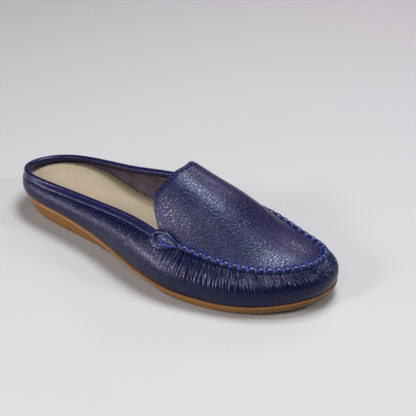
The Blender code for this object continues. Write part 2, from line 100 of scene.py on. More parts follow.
# Sections round the shoe, as in the solid model: the share of the length from the heel, two
# shares of the widths, the top's climb to the seam, and the wall's lean and bulge
SECTION_COLUMNS = ("along", "heel", "ball", "climb", "lean", "bulge")
SECTIONS = (
    (0.016, 0.00, 0.000, 0.00, -0.08, 0.25),
    (0.045, -0.29, 0.000, 0.20, -0.06, 0.32),
    (0.188, -0.50, 0.000, 0.45, 0.14, 0.56),
    (0.375, -0.25, -0.219, 0.67, 0.35, 0.77),
    (0.585, 0.00, -0.526, 0.87, 0.68, 0.99),
    (0.635, 0.00, -0.545, 0.58, 0.83, 1.00),
    (0.725, 0.00, -0.527, 0.28, 0.95, 0.76),
    (0.850, 0.00, -0.424, 0.01, 0.90, 0.50),
    (0.934, 0.00, -0.255, -0.04, 0.80, 0.44),
    (1.000, 0.00, 0.083, 0.00, 0.77, 0.42),
    (0.977, 0.00, 0.302, -0.06, 0.74, 0.36),
    (0.885, 0.00, 0.425, -0.02, 0.85, 0.44),
    (0.753, 0.00, 0.474, 0.35, 0.92, 0.75),
    (0.625, 0.00, 0.428, 0.66, 0.87, 0.98),
    (0.528, 0.00, 0.387, 1.00, 0.62, 0.99),
    (0.332, 0.25, 0.129, 0.76, 0.30, 0.74),
    (0.180, 0.50, 0.000, 0.25, 0.15, 0.58),
    (0.045, 0.29, 0.000, 0.00, 0.00, 0.36),
)
LATERAL_START = 4           # rows at which the seam starts, passes the toe and ends
TOE_TIP = 9
MEDIAL_START = 14
SOLE_PROFILE = (            # share of the length, share of the heel's extra thickness
    (0.00, 0.60), (0.04, 0.85), (0.11, 1.00), (0.20, 1.00), (0.35, 0.55),
    (0.50, 0.12), (0.60, 0.02), (0.75, -0.05), (0.85, -0.11), (1.05, -0.13),
)
SPRING_START = 0.655        # share of the length at which the tread starts to lift
CROWN_COLUMNS = ("way", "rise", "arch", "fullness")
CROWN = (
    (0.00, 1.00, 2.2, 0.82),
    (0.20, 0.94, 2.2, 0.84),
    (0.40, 0.77, 2.2, 0.88),
    (0.60, 0.42, 2.2, 0.94),
    (0.80, 0.19, 2.1, 1.00),
    (0.95, 0.08, 2.1, 1.00),
    (1.00, 0.00, 2.1, 1.00),
)
THROAT_EDGE = (             # place across the apron, share of the ears' depth
    (-1.00, 0.00), (-0.75, 1.15), (-0.50, 0.55), (-0.25, 0.08), (0.00, -0.42),
    (0.25, -0.48), (0.50, -0.10), (0.75, 0.55), (1.00, 0.00),
)
THROAT_FADE = 0.30          # share of the apron over which the throat's curve fades
HEEL_REST = 0.144           # share of the length that lies behind the origin
TOE_ARC = 0.26              # share of the seam, from toe tip to seam end, in the apron's arc
EDGE_CROWDING = 1.25        # how much closer the apron's columns lie at its sides
RANDOM = np.random.default_rng(7)


# Form of the shoe

class Curve:
    """Natural cubic spline through values at places."""

    def __init__(self, places, values):
        self.places = np.asarray(places, float)
        self.values = np.asarray(values, float)
        count = len(self.places)
        gap = np.diff(self.places)
        rise = (np.diff(self.values, axis=0).T / gap).T
        system = np.eye(count)
        load = np.zeros_like(self.values)
        for i in range(1, count - 1):
            system[i, i - 1:i + 2] = gap[i - 1], 2 * (gap[i - 1] + gap[i]), gap[i]
            load[i] = 6 * (rise[i] - rise[i - 1])
        self.bend = np.linalg.solve(system, load)

    def __call__(self, at):
        at = np.asarray(at, float)
        i = np.clip(np.searchsorted(self.places, at) - 1, 0, len(self.places) - 2)
        gap = self.places[i + 1] - self.places[i]
        near = (self.places[i + 1] - at) / gap
        if self.values.ndim > 1:
            gap = gap[..., None]
            near = near[..., None]
        far = 1 - near
        chord = near * self.values[i] + far * self.values[i + 1]
        bow = (near ** 3 - near) * self.bend[i] + (far ** 3 - far) * self.bend[i + 1]
        return chord + bow * gap * gap / 6


def unit(vectors):
    """Vectors scaled to length one."""
    return vectors / np.linalg.norm(vectors, axis=-1, keepdims=True)


def ease(value, start, end):
    """Soft step from 0 at start to 1 at end."""
    share = np.clip((value - start) / (end - start), 0, 1)
    return share * share * (3 - 2 * share)


def run_along(points):
    """Distance along the first axis of a row or a grid of points, from its start."""
    steps = np.linalg.norm(np.diff(points, axis=0), axis=-1)
    return np.concatenate([np.zeros_like(steps[:1]), np.cumsum(steps, axis=0)])


def read_at(wanted, places, values):
    """Rows of values at other places, read off between the known ones."""
    return np.stack([np.interp(wanted, places, column) for column in values.T], axis=1)


def spring_lift(x):
    """Height of the tread over the floor."""
    start = (SPRING_START - HEEL_REST) * LENGTH
    end = (1 - HEEL_REST) * LENGTH
    return TOE_SPRING * np.clip((x - start) / (end - start), 0, None) ** 2


def sole_top(x):
    """Height of the outsole's upper face."""
    share = SOLE_CURVE(x / LENGTH + HEEL_REST)
    return FOREPART_THICKNESS + (HEEL_THICKNESS - FOREPART_THICKNESS) * share + spring_lift(x)


SOLE_CURVE = Curve(*zip(*SOLE_PROFILE))


def section_lengths():
    """The table of sections as lengths."""
    rows = []
    for index, section in enumerate(SECTIONS):
        row = dict(zip(SECTION_COLUMNS, section))
        front = LATERAL_START < index < MEDIAL_START
        end_height = TOE_HEIGHT if front else COLLAR_HEIGHT
        rows.append((
            (row["along"] - HEEL_REST) * LENGTH,
            row["heel"] * HEEL_WIDTH + row["ball"] * BALL_WIDTH,
            end_height + row["climb"] * (SEAM_HEIGHT - end_height),
            row["lean"] * WALL_LEAN,
            row["bulge"] * WALL_BULGE,
        ))
    return np.array(rows)


ROWS = section_lengths()
CHORDS = np.linalg.norm(np.roll(ROWS[:, :2], -1, axis=0) - ROWS[:, :2], axis=1)
ROUND = CHORDS.sum()
ROW_PLACES = np.concatenate([[0], np.cumsum(CHORDS)[:-1]])
LOOP_PLACES = np.concatenate([ROW_PLACES - ROUND, ROW_PLACES, ROW_PLACES + ROUND])
LOOP_CURVE = Curve(LOOP_PLACES, np.tile(ROWS, (3, 1)))
LATERAL_END, TOE_END, MEDIAL_END = ROW_PLACES[[LATERAL_START, TOE_TIP, MEDIAL_START]]


def outline(places):
    """Lengths at places round the loop, and the plan direction that points out."""
    values = LOOP_CURVE(places)
    reach = LENGTH * 1e-4
    ahead = LOOP_CURVE(places + reach)[..., :2]
    behind = LOOP_CURVE(places - reach)[..., :2]
    along = unit(ahead - behind)
    return values, np.stack([along[..., 1], -along[..., 0]], axis=-1)


def wall_point(places, share):
    """Outer face of the wall, from the sole (share 0) to the topline or seam (1)."""
    values, out = outline(places)
    x, y, top, lean, bulge = np.moveaxis(values, -1, 0)
    floor = sole_top(x) + CLEARANCE
    turn = share * math.pi / 2
    swell = np.sin(np.pi * share) * (1 - share ** 4)
    push = bulge * swell - lean * (1 - np.cos(turn))
    rise = (top - floor) * (np.sin(turn) + share) / 2
    return np.stack([x + out[..., 0] * push, y + out[..., 1] * push, floor + rise], axis=-1)


def wall_normal(places, share):
    """Direction that points out of the wall."""
    reach = LENGTH * 1e-3
    along = wall_point(places + reach, share) - wall_point(places - reach, share)
    lower = np.clip(share - 0.02, 0, 1)
    upper = np.clip(share + 0.02, 0, 1)
    up = wall_point(places, upper) - wall_point(places, lower)
    return unit(np.cross(along, up))


def wall_offset(places, share, depth):
    """Point at a depth below the wall's outer face; a negative depth lies outside."""
    return wall_point(places, share) - wall_normal(places, share) * np.reshape(depth, (-1, 1))


SHARES = np.linspace(1, 0, 61)


def share_at_drop(places, drop):
    """Share of the wall's height that lies a drop below its top, along the face."""
    depth = run_along([wall_point(places, share) for share in SHARES])
    drops = np.broadcast_to(drop, places.shape)
    return np.array([np.interp(d, depth[:, i], SHARES) for i, d in enumerate(drops)])


def share_at_height(places, heights):
    """Share of the wall's height at which its face reaches a height over the floor."""
    run = np.array([wall_point(places, share)[:, 2] for share in SHARES[::-1]])
    return np.array([np.interp(z, run[:, i], SHARES[::-1]) for i, z in enumerate(heights)])


def inset_seam(places, inset):
    """Seam line moved in, in plan."""
    _, out = outline(places)
    points = wall_point(places, 1.0)
    points[..., :2] -= out * inset
    return points


def apron_grid(rows, columns):
    """Outer face of the apron: rows from throat to toe arc, columns lateral to medial."""
    lateral_split = TOE_END - (TOE_END - LATERAL_END) * TOE_ARC
    medial_split = TOE_END + (MEDIAL_END - TOE_END) * TOE_ARC
    lateral = np.linspace(LATERAL_END, lateral_split, rows)
    medial = np.linspace(MEDIAL_END, medial_split, rows)
    half = columns // 2
    arc_places = np.concatenate([
        np.linspace(lateral_split, TOE_END, half + 1),
        np.linspace(TOE_END, medial_split, half + 1)[1:],
    ])
    arc = inset_seam(arc_places, SEAM_INSET)
    across = np.sin(np.linspace(-1, 1, columns) * EDGE_CROWDING)
    across = across / across[-1]
    start = inset_seam(lateral, SEAM_INSET)[:, None]
    end = inset_seam(medial, SEAM_INSET)[:, None]
    grid = start + (end - start) * ((across + 1) / 2)[None, :, None]
    forward = np.linspace(0, 1, rows)[:, None, None] ** 2
    grid = grid + forward * (arc - grid[-1])
    middle = grid[:, half, 0]
    way = (middle - middle[0]) / (middle[-1] - middle[0])
    crown = dict(zip(CROWN_COLUMNS, zip(*CROWN)))
    height = (INSTEP_HEIGHT - grid[0, half, 2]) * Curve(crown["way"], crown["rise"])(way)
    arch = Curve(crown["way"], crown["arch"])(way)[:, None]
    fullness = Curve(crown["way"], crown["fullness"])(way)[:, None]
    grid[..., 2] += height[:, None] * np.clip(1 - np.abs(across) ** arch, 0, None) ** fullness
    swing = EAR_DEPTH * Curve(*zip(*THROAT_EDGE))(across)
    grid[..., 0] -= swing * np.clip(1 - way / THROAT_FADE, 0, 1)[:, None] ** 2
    return grid


def grid_normals(grid):
    """Upward directions of a grid of points."""
    along = np.gradient(grid, axis=0)
    across = np.gradient(grid, axis=1)
    normals = unit(np.cross(along, across))
    return normals * np.sign(normals[..., 2].sum())


def drooped(grid):
    """The apron with its throat edge bent down, less towards the seam ends."""
    near = np.clip(1 - run_along(grid) / THROAT_BEND, 0, 1) ** 2
    middle = 1 - np.linspace(-1, 1, grid.shape[1]) ** 4
    return grid - grid_normals(grid) * (THROAT_DROOP * near * middle)[..., None]


APRON = drooped(apron_grid(96, 73))
APRON_UP = grid_normals(APRON)
APRON_RUN = run_along(APRON)


# Meshes

def grid_faces(rows, columns, closed_rows=False, closed_columns=False):
    """Corner numbers of the faces of a grid of points."""
    index = np.arange(rows * columns).reshape(rows, columns)
    if closed_rows:
        index = np.vstack([index, index[:1]])
    if closed_columns:
        index = np.hstack([index, index[:, :1]])
    corners = (index[:-1, :-1], index[:-1, 1:], index[1:, 1:], index[1:, :-1])
    return np.stack(corners, axis=-1).reshape(-1, 4).tolist()


def piece(name, points, faces, finish, nodes=()):
    """Object from points and faces, turned outwards, that rides on the shoe."""
    mesh = bpy.data.meshes.new(name)
    mesh.from_pydata(np.asarray(points).reshape(-1, 3).tolist(), [], faces)
    form = bmesh.new()
    form.from_mesh(mesh)
    bmesh.ops.recalc_face_normals(form, faces=form.faces)
    form.to_mesh(mesh)
    form.free()
    mesh.shade_smooth()
    mesh.set_sharp_from_angle(angle=math.radians(60))
    made = bpy.data.objects.new(name, mesh)
    bpy.context.scene.collection.objects.link(made)
    dress(made, finish, nodes)
    return made


def dress(made, finish, nodes):
    """Give a piece its material, fix it to the root body and hide the solid's parts that it stands
    for.
    """
    made.data.materials.clear()
    made.data.materials.append(finish)
    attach(made, "root")
    if nodes:
        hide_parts(*nodes)


def sleeve(name, rings, finish, nodes, closed=False):
    """Closed piece through rings of points, round a loop or with a face over each end."""
    rings = np.asarray(rings)
    count, around = rings.shape[:2]
    faces = grid_faces(count, around, closed_rows=closed, closed_columns=True)
    if not closed:
        faces.append(list(range(around)))
        faces.append(list(range((count - 1) * around, count * around)))
    piece(name, rings, faces, finish, nodes)


def cords(name, runs, radius, finish, sides=8):
    """Many short round threads with narrow ends in one piece; each run is a row of points."""
    points = []
    faces = []
    turn = np.linspace(0, 2 * np.pi, sides, endpoint=False)
    for run in runs:
        run = np.asarray(run)
        ahead = unit(np.gradient(run, axis=0))
        side = unit(np.cross(ahead, np.array([0.13, 0.21, 0.97])))
        rise = np.cross(side, ahead)
        thick = np.full(len(run), radius)
        thick[[0, -1]] *= 0.35
        spokes = (side[:, None] * np.cos(turn)[None, :, None]
                  + rise[:, None] * np.sin(turn)[None, :, None])
        start = sum(len(rings) for rings in points)
        points.append((run[:, None] + spokes * thick[:, None, None]).reshape(-1, 3))
        faces += [[c + start for c in f] for f in grid_faces(len(run), sides, closed_columns=True)]
        faces.append([start + i for i in range(sides)])
        faces.append([start + (len(run) - 1) * sides + i for i in range(sides)])
    piece(name, np.concatenate(points), faces, finish)


def slab(name, upper, lower, finish, nodes):
    """Closed piece between two grids of points, with a rim that joins their edges."""
    rows, columns = upper.shape[:2]
    count = rows * columns
    points = np.concatenate([upper.reshape(-1, 3), lower.reshape(-1, 3)])
    faces = grid_faces(rows, columns)
    faces += [[corner + count for corner in face] for face in faces]
    index = np.arange(count).reshape(rows, columns)
    sides = (index[:, 0], index[-1, 1:], index[-2::-1, -1], index[0, -2:0:-1])
    rim = np.concatenate(sides).tolist()
    for here, there in zip(rim, rim[1:] + rim[:1]):
        faces.append([here, there, there + count, here + count])
    return piece(name, points, faces, finish, nodes)


def mark(made, name, values):
    """Store one number at each point of a piece, for its finish to read."""
    attribute = made.data.attributes.new(name, "FLOAT", "POINT")
    attribute.data.foreach_set("value", values)


def stitches_along(line, margins, pitch, length):
    """Points of short stitches laid along a line, between margins at its ends."""
    run = run_along(line)
    stitches = []
    for start in np.arange(margins[0], run[-1] - margins[1], pitch):
        at = np.linspace(start, start + length, 5)
        stitches.append(read_at(at, run, line))
    return stitches


# Materials

class Wire:
    """One value in a material; arithmetic on wires adds Math nodes."""

    def __init__(self, finish, socket):
        self.finish = finish
        self.socket = socket

    def math(self, operation, first, second):
        return self.finish.node("ShaderNodeMath", {"operation": operation}, {0: first, 1: second})

    def __add__(self, other):
        return self.math("ADD", self, other)

    __radd__ = __add__

    def __sub__(self, other):
        return self.math("SUBTRACT", self, other)

    def __rsub__(self, other):
        return self.math("SUBTRACT", other, self)

    def __mul__(self, other):
        return self.math("MULTIPLY", self, other)

    __rmul__ = __mul__


class Finish:
    """A material and the one method that adds a node to it."""

    def __init__(self, name):
        self.material = bpy.data.materials.new(name)
        self.material.use_nodes = True
        self.tree = self.material.node_tree
        self.shader = self.tree.nodes["Principled BSDF"]

    def node(self, kind, settings=None, inputs=None, output=0):
        """Add a node: its settings first, then the values or links of its sockets."""
        made = self.tree.nodes.new(kind)
        for key, value in (settings or {}).items():
            setattr(made, key, value)
        for key, value in (inputs or {}).items():
            self.plug(made.inputs[key], value)
        return Wire(self, made.outputs[output])

    def plug(self, socket, value):
        if isinstance(value, Wire):
            self.tree.links.new(value.socket, socket)
        else:
            socket.default_value = value

    def set(self, **values):
        for key, value in values.items():
            self.plug(self.shader.inputs[key.replace("_", " ")], value)

    def place(self):
        return self.node("ShaderNodeTexCoord", output="Object")

    def cells(self, where, size):
        """Distance to the nearest edge between cells of a size."""
        inputs = {"Vector": where, "Scale": 1 / size, "Randomness": 1.0}
        return self.node("ShaderNodeTexVoronoi", {"feature": "DISTANCE_TO_EDGE"}, inputs)

    def noise(self, where, size, detail=3.0, output="Fac"):
        inputs = {"Vector": where, "Scale": 1 / size, "Detail": detail, "Roughness": 0.55}
        return self.node("ShaderNodeTexNoise", {}, inputs, output)

    def between(self, value, low, high, to_low=0.0, to_high=1.0):
        """Soft step of a value from one number to another, as it goes from low to high."""
        settings = {"interpolation_type": "SMOOTHSTEP", "clamp": True}
        inputs = {"Value": value, "From Min": low, "From Max": high,
                  "To Min": to_low, "To Max": to_high}
        return self.node("ShaderNodeMapRange", settings, inputs)

    def blend(self, factor, first, second):
        """Colour between two others; each is a link or a row of three numbers."""
        inputs = {"Factor": factor}
        for key, colour in ((6, first), (7, second)):
            inputs[key] = (*colour, 1) if isinstance(colour, tuple) else colour
        return self.node("ShaderNodeMix", {"data_type": "RGBA"}, inputs, 2)

    def bump(self, height, depth):
        inputs = {"Height": height, "Distance": depth, "Strength": 1.0}
        return self.node("ShaderNodeBump", {}, inputs)

    def wander(self, where, size, reach):
        """Places shifted by soft noise, so that a pattern isn't regular."""
        drift = self.noise(where, size, detail=2.0, output="Color")
        centred = self.node("ShaderNodeVectorMath", {"operation": "SUBTRACT"},
                            {0: drift, 1: (0.5, 0.5, 0.5)})
        scaled = self.node("ShaderNodeVectorMath", {"operation": "SCALE"},
                           {0: centred, "Scale": reach})
        return self.node("ShaderNodeVectorMath", {"operation": "ADD"}, {0: where, 1: scaled})


def pebbled_leather(name, grain, depth, deep, tint, roughness, dull, sheen, calm=1.0):
    """Milled leather: rounded pebbles of a size, with shade painted darker into their creases, and
    calmer at the toe.
    """
    finish = Finish(name)
    where = finish.place()
    shifted = finish.wander(where, grain * 2.5, grain * 1.4)
    nudged = finish.wander(where, grain, grain * 0.6)
    big = finish.between(finish.cells(shifted, grain), 0.0, 0.24)
    small = finish.between(finish.cells(nudged, grain * 0.5), 0.0, 0.25)
    cloud = finish.noise(where, 16 * MM, detail=4.0)
    fine = finish.noise(where, 0.6 * MM, detail=2.0)
    height = big * 0.84 + small * 0.12 + fine * 0.04
    along = finish.node("ShaderNodeSeparateXYZ", {}, {"Vector": where}, "X")
    relief = height * finish.between(along, 0.105, 0.150, 1.0, calm)
    # Painted shade: the creases between the pebbles are given a darker colour.
    painted_crease_shade = tuple(c * 0.30 for c in deep)
    colour = finish.blend(finish.between(cloud, 0.35, 0.70), deep, tint)
    colour = finish.blend(finish.between(height, 0.15, 0.75), painted_crease_shade, colour)
    rough = finish.between(height, 0.1, 0.7, roughness + dull, roughness)
    rough = rough + finish.between(cloud, 0.3, 0.7, -0.04, 0.05)
    finish.set(Base_Color=colour, Roughness=rough, Normal=finish.bump(relief, depth))
    finish.set(Sheen_Weight=sheen, Sheen_Roughness=0.35, Sheen_Tint=(0.55, 0.42, 0.90, 1))
    finish.set(Specular_IOR_Level=0.34, Specular_Tint=(0.66, 0.70, 1.0, 1))
    finish.set(Coat_Weight=finish.between(height, 0.2, 0.8, 0.0, 0.05), Coat_Roughness=0.24)
    return finish.material


def smooth_leather(name, deep, tint, roughness, grain=0.7 * MM, depth=0.03 * MM):
    """Leather with a fine, shallow grain and soft wear."""
    finish = Finish(name)
    where = finish.place()
    cells = finish.between(finish.cells(finish.wander(where, grain * 2, grain), grain), 0.0, 0.3)
    cloud = finish.noise(where, 9 * MM, detail=4.0)
    fine = finish.noise(where, 0.4 * MM)
    height = cells * 0.7 + fine * 0.3
    colour = finish.blend(finish.between(cloud, 0.3, 0.7), deep, tint)
    rough = finish.between(cloud, 0.3, 0.7, roughness + 0.06, roughness)
    finish.set(Base_Color=colour, Roughness=rough, Normal=finish.bump(height, depth))
    finish.set(Specular_IOR_Level=0.36, Specular_Tint=(0.64, 0.67, 1.0, 1))
    finish.set(Coat_Weight=0.12, Coat_Roughness=0.2)
    return finish.material


def thread_finish(name, colour, dark, shine=0.2):
    """Twisted sewing thread."""
    finish = Finish(name)
    where = finish.place()
    twist = finish.noise(where, 0.5 * MM, detail=1.0)
    finish.set(Base_Color=finish.blend(finish.between(twist, 0.35, 0.65), dark, colour),
               Roughness=finish.between(twist, 0.3, 0.7, 0.55, 0.42),
               Normal=finish.bump(twist, 0.12 * MM))
    finish.set(Specular_IOR_Level=shine)
    return finish.material


def insole_leather():
    """Beige sock leather with a faint grain, darker in its stitched channel."""
    finish = Finish("insole leather")
    where = finish.place()
    channel = finish.node("ShaderNodeAttribute", {"attribute_name": "channel"}, output="Fac")
    pores = finish.between(finish.cells(where, 0.8 * MM), 0.0, 0.25)
    cloud = finish.noise(where, 14 * MM, detail=3.0)
    fine = finish.noise(where, 0.5 * MM)
    patches = finish.between(cloud, 0.3, 0.7)
    faint = (1 - finish.between(pores, 0.0, 1.0)) * 0.10
    colour = finish.blend(patches, (0.228, 0.182, 0.122), (0.250, 0.202, 0.140))
    colour = finish.blend(faint, colour, (0.22, 0.17, 0.10))
    colour = finish.blend(channel * 0.75, colour, (0.20, 0.18, 0.07))
    finish.set(Base_Color=colour, Roughness=finish.between(fine, 0.3, 0.7, 0.66, 0.58),
               Normal=finish.bump(pores * 0.6 + fine * 0.4, 0.07 * MM))
    finish.set(Sheen_Weight=0.1, Specular_IOR_Level=0.35)
    return finish.material


def gum_rubber():
    """Amber gum rubber, clouded and gritty, darker at the heel, where a pale highlight is painted
    along its rim.
    """
    finish = Finish("gum rubber")
    where = finish.place()
    rim = finish.node("ShaderNodeAttribute", {"attribute_name": "rim"}, output="Fac")
    heel = finish.node("ShaderNodeAttribute", {"attribute_name": "heel"}, output="Fac")
    cloud = finish.noise(where, 12 * MM, detail=4.0)
    grit = finish.noise(where, 0.45 * MM, detail=3.0)
    body = finish.blend(heel, (0.160, 0.072, 0.015), (0.140, 0.060, 0.013))
    body = finish.blend(finish.between(cloud, 0.3, 0.75, 0.0, 0.35), body, (0.20, 0.09, 0.022))
    # Painted highlight: a pale line along the top of the rim at the heel.
    colour = finish.blend(rim * 0.22 * heel, body, (0.50, 0.33, 0.17))
    finish.set(Base_Color=colour, Roughness=finish.between(cloud, 0.3, 0.7, 0.46, 0.58),
               Normal=finish.bump(grit * 0.6 + cloud * 0.4, 0.06 * MM))
    finish.set(Specular_IOR_Level=0.3, Subsurface_Weight=0.05,
               Subsurface_Radius=(0.004, 0.002, 0.001))
    return finish.material


WALL_FINISH = pebbled_leather(
    "wall leather", grain=2.0 * MM, depth=0.085 * MM, deep=(0.0030, 0.0035, 0.027),
    tint=(0.0040, 0.0043, 0.036), roughness=0.225, dull=0.13, sheen=0.0, calm=0.5)
APRON_FINISH = pebbled_leather(
    "apron leather", grain=2.0 * MM, depth=0.10 * MM, deep=(0.0042, 0.0047, 0.034),
    tint=(0.0084, 0.0068, 0.047), roughness=0.27, dull=0.20, sheen=0.01)
SEAM_FINISH = smooth_leather(
    "seam leather", deep=(0.004, 0.0045, 0.026), tint=(0.006, 0.006, 0.034), roughness=0.25)
BAND_FINISH = smooth_leather(
    "collar leather", deep=(0.003, 0.0035, 0.024), tint=(0.005, 0.0052, 0.032), roughness=0.23)
LINING_FINISH = smooth_leather(
    "lining leather", deep=(0.050, 0.040, 0.052), tint=(0.110, 0.088, 0.102), roughness=0.42,
    grain=1.3 * MM, depth=0.12 * MM)
BLUE_THREAD = thread_finish("blue thread", (0.035, 0.10, 0.44), (0.012, 0.03, 0.17))
LOOP_THREAD = thread_finish("loop thread", (0.016, 0.042, 0.24), (0.006, 0.013, 0.08))
DARK_THREAD = thread_finish("dark thread", (0.0010, 0.0012, 0.005), (0.001, 0.001, 0.003), 0.0)
INSOLE_FINISH = insole_leather()
INSOLE_THREAD = thread_finish("insole thread", (0.42, 0.36, 0.18), (0.20, 0.17, 0.06))
GUM_FINISH = gum_rubber()


# Wall with its gathers

def gathers(places, share, folds):
    """How deep the folds and the quarters' sag press the wall in, at one share of its height."""
    away = np.minimum(places, ROUND - places)
    quarter = ease(away, 4 * MM, 34 * MM) * (1 - ease(away, 125 * MM, 190 * MM))
    swell = math.sin(math.pi * share ** 0.60) ** 2
    depth = -QUARTER_SAG * swell * (0.10 + 0.90 * quarter)
    for fold in folds:
        reach = ease(share, fold["foot"], fold["foot"] + 0.42) * (1 - 0.35 * ease(share, 0.93, 1.0))
        if reach <= 0:
            continue
        middle = fold["place"] + fold["slant"] * (1 - share)
        near = np.abs(places - middle) < 6 * fold["width"]
        across = (places[near] - middle) / fold["width"]
        groove = np.exp(-across ** 2) - 0.42 * np.exp(-(across / 2.1) ** 2)
        depth[near] += fold["depth"] * reach * groove
    return depth


def gather_folds():
    """Folds from one seam end round the toe to the other, with uneven spacing."""
    folds = []
    place = LATERAL_END - 2 * MM
    while place < MEDIAL_END + 2 * MM:
        side = 1 if place < TOE_END else -1
        far = TOE_END - LATERAL_END if side > 0 else MEDIAL_END - TOE_END
        way = 1 - abs(place - TOE_END) / far
        depth = ease(way, -0.03, 0.12) * (1 - 0.65 * ease(way, 0.80, 1.0))
        folds.append({
            "place": place,
            "width": RANDOM.uniform(0.36, 0.70) * MM,
            "depth": RANDOM.uniform(0.30, 1.15) * MM * (0.25 + 0.75 * depth),
            "foot": RANDOM.uniform(0.05, 0.42) + 0.34 * (1 - ease(way, 0.0, 0.4)),
            "slant": side * (-4 + 20 * way + RANDOM.uniform(-2.5, 2.5)) * MM,
        })
        place += RANDOM.uniform(0.9, 2.1) * MM
    return folds


def make_wall():
    """Leather of the wall, gathered under the seam."""
    places = np.concatenate([
        np.linspace(0, LATERAL_END, 150, endpoint=False),
        np.linspace(LATERAL_END, MEDIAL_END, 980, endpoint=False),
        np.linspace(MEDIAL_END, ROUND, 150, endpoint=False),
    ])
    folds = gather_folds()
    outer = []
    for share in np.linspace(0, 1, 46):
        outer.append(wall_offset(places, share, gathers(places, share, folds)))
    inner = [wall_offset(places, share, SKIN) for share in np.linspace(1, 0, 5)]
    rings = np.stack(outer + inner, axis=1)
    sleeve("wall_leather", rings, WALL_FINISH, ("upper",), closed=True)


def make_lining():
    """Dark lining inside the wall and under the apron."""
    places = np.linspace(0, ROUND, 260, endpoint=False)
    outer = [wall_offset(places, share, SKIN + 0.05 * MM) for share in np.linspace(0, 1, 14)]
    inner = [wall_offset(places, share, WALL) for share in np.linspace(1, 0, 14)]
    rings = np.stack(outer + inner, axis=1)
    sleeve("wall_lining", rings, LINING_FINISH, ("upper",), closed=True)
    grid = APRON[::3, ::3]
    up = APRON_UP[::3, ::3]
    top = grid - up * (APRON_THICKNESS + CLEARANCE)
    under = grid - up * (APRON_THICKNESS + CLEARANCE + LINING)
    slab("apron_lining", top, under, LINING_FINISH, ("upper",))


def make_apron():
    """Pebbled plug whose throat edge is folded round the lining and stitched down."""
    groove = 0.42 * MM * np.exp(-((APRON_RUN - THROAT_STITCH_INSET) / (0.55 * MM)) ** 2)
    roll = 0.40 * MM * np.exp(-((APRON_RUN - 0.6 * MM) / (0.7 * MM)) ** 2)
    top = APRON - APRON_UP * (groove - roll)[..., None]
    fold = (APRON_THICKNESS + CLEARANCE + LINING + 0.5 * MM) / 2
    ahead = unit(APRON[1] - APRON[0])
    centre = APRON[0] - APRON_UP[0] * fold
    turned = []
    for angle in np.linspace(0.3, math.pi, 8):
        spoke = APRON_UP[0] * math.cos(angle) - ahead * math.sin(angle)
        turned.append(centre + spoke * fold)
    flap = 7
    under = [APRON[i] - APRON_UP[i] * fold * 2 for i in range(1, flap)]
    inner = [APRON[i] - APRON_UP[i] * (fold * 2 - 0.4 * MM) for i in range(flap - 1, 1, -1)]
    back = [APRON[i] - APRON_UP[i] * APRON_THICKNESS for i in range(2, APRON.shape[0], 4)]
    back.append(APRON[-1] - APRON_UP[-1] * APRON_THICKNESS)
    profile = list(top[::-1]) + turned + under + inner + back
    rings = np.stack(profile, axis=1)
    sleeve("apron_leather", rings, APRON_FINISH, ("apron",))


def apron_tree():
    """Search tree over the apron's face."""
    rows, columns = APRON.shape[:2]
    points = [Vector(p) for p in APRON.reshape(-1, 3)]
    return BVHTree.FromPolygons(points, grid_faces(rows, columns))


TREE = apron_tree()


def on_apron(points, lift=0.0):
    """Nearest places on the apron, raised by a lift, and their upward directions."""
    places = []
    ups = []
    for point in points:
        place, normal, _, _ = TREE.find_nearest(Vector(point))
        if normal.z < 0:
            normal.negate()
        places.append(place + normal * lift)
        ups.append(normal)
    return np.array(places), np.array(ups)


def average(values, reach):
    """Running mean along the first axis."""
    padded = np.concatenate([values[:1].repeat(reach, 0), values, values[-1:].repeat(reach, 0)])
    window = 2 * reach + 1
    total = np.cumsum(np.concatenate([np.zeros_like(padded[:1]), padded]), axis=0)
    return (total[window:] - total[:-window]) / window


SEAM_FROM = LATERAL_END + KNOT_FRONT
SEAM_TO = MEDIAL_END - KNOT_FRONT
WHIP_COUNT = round((SEAM_TO - SEAM_FROM) / WHIP_PITCH)
WHIP_PLACES = SEAM_FROM + (np.arange(WHIP_COUNT) + 0.35) * (SEAM_TO - SEAM_FROM) / WHIP_COUNT


def lip_frames(places):
    """Middle of the lip, its direction across, its direction up and its half width."""
    foot = wall_point(places, share_at_drop(places, LIP_FOOT))
    edge = inset_seam(places, SEAM_INSET)
    _, edge_up = on_apron(edge)
    _, out = outline(places)
    level = np.column_stack([-out, np.zeros(len(out))])
    inward = unit(level - edge_up * (level * edge_up).sum(axis=1, keepdims=True))
    rest, _ = on_apron(edge + inward * LIP_REACH)
    across = rest - foot
    half = np.linalg.norm(across, axis=1, keepdims=True) / 2
    across = unit(across)
    up = wall_normal(places, 1.0) + edge_up
    up = unit(up - across * (up * across).sum(axis=1, keepdims=True))
    frames = [average(v, 6) for v in ((foot + rest) / 2, across, up, half)]
    frames[1] = unit(frames[1])
    frames[2] = unit(frames[2])
    return frames


def pinch(places):
    """How far the stitches draw the lip in."""
    away = np.abs(places[:, None] - WHIP_PLACES[None]).min(axis=1)
    return 1 - 0.24 * np.exp(-(away / (1.0 * MM)) ** 2) + 0.04 * ease(away, 1.2 * MM, 3.0 * MM)


def lip_ring(frames, places, angles, proud=0.0):
    """Points round the lip's back and, flatter, under it."""
    middle, across, up, half = frames
    size = pinch(places)[:, None] * LIP_FULLNESS
    wide = half * size + proud
    high = LIP_HEIGHT * size + proud
    points = []
    for angle in angles:
        lift = math.sin(angle) * (1.0 if math.sin(angle) > 0 else 0.45)
        points.append(middle - across * wide * math.cos(angle) + up * high * lift)
    return np.stack(points, axis=1)


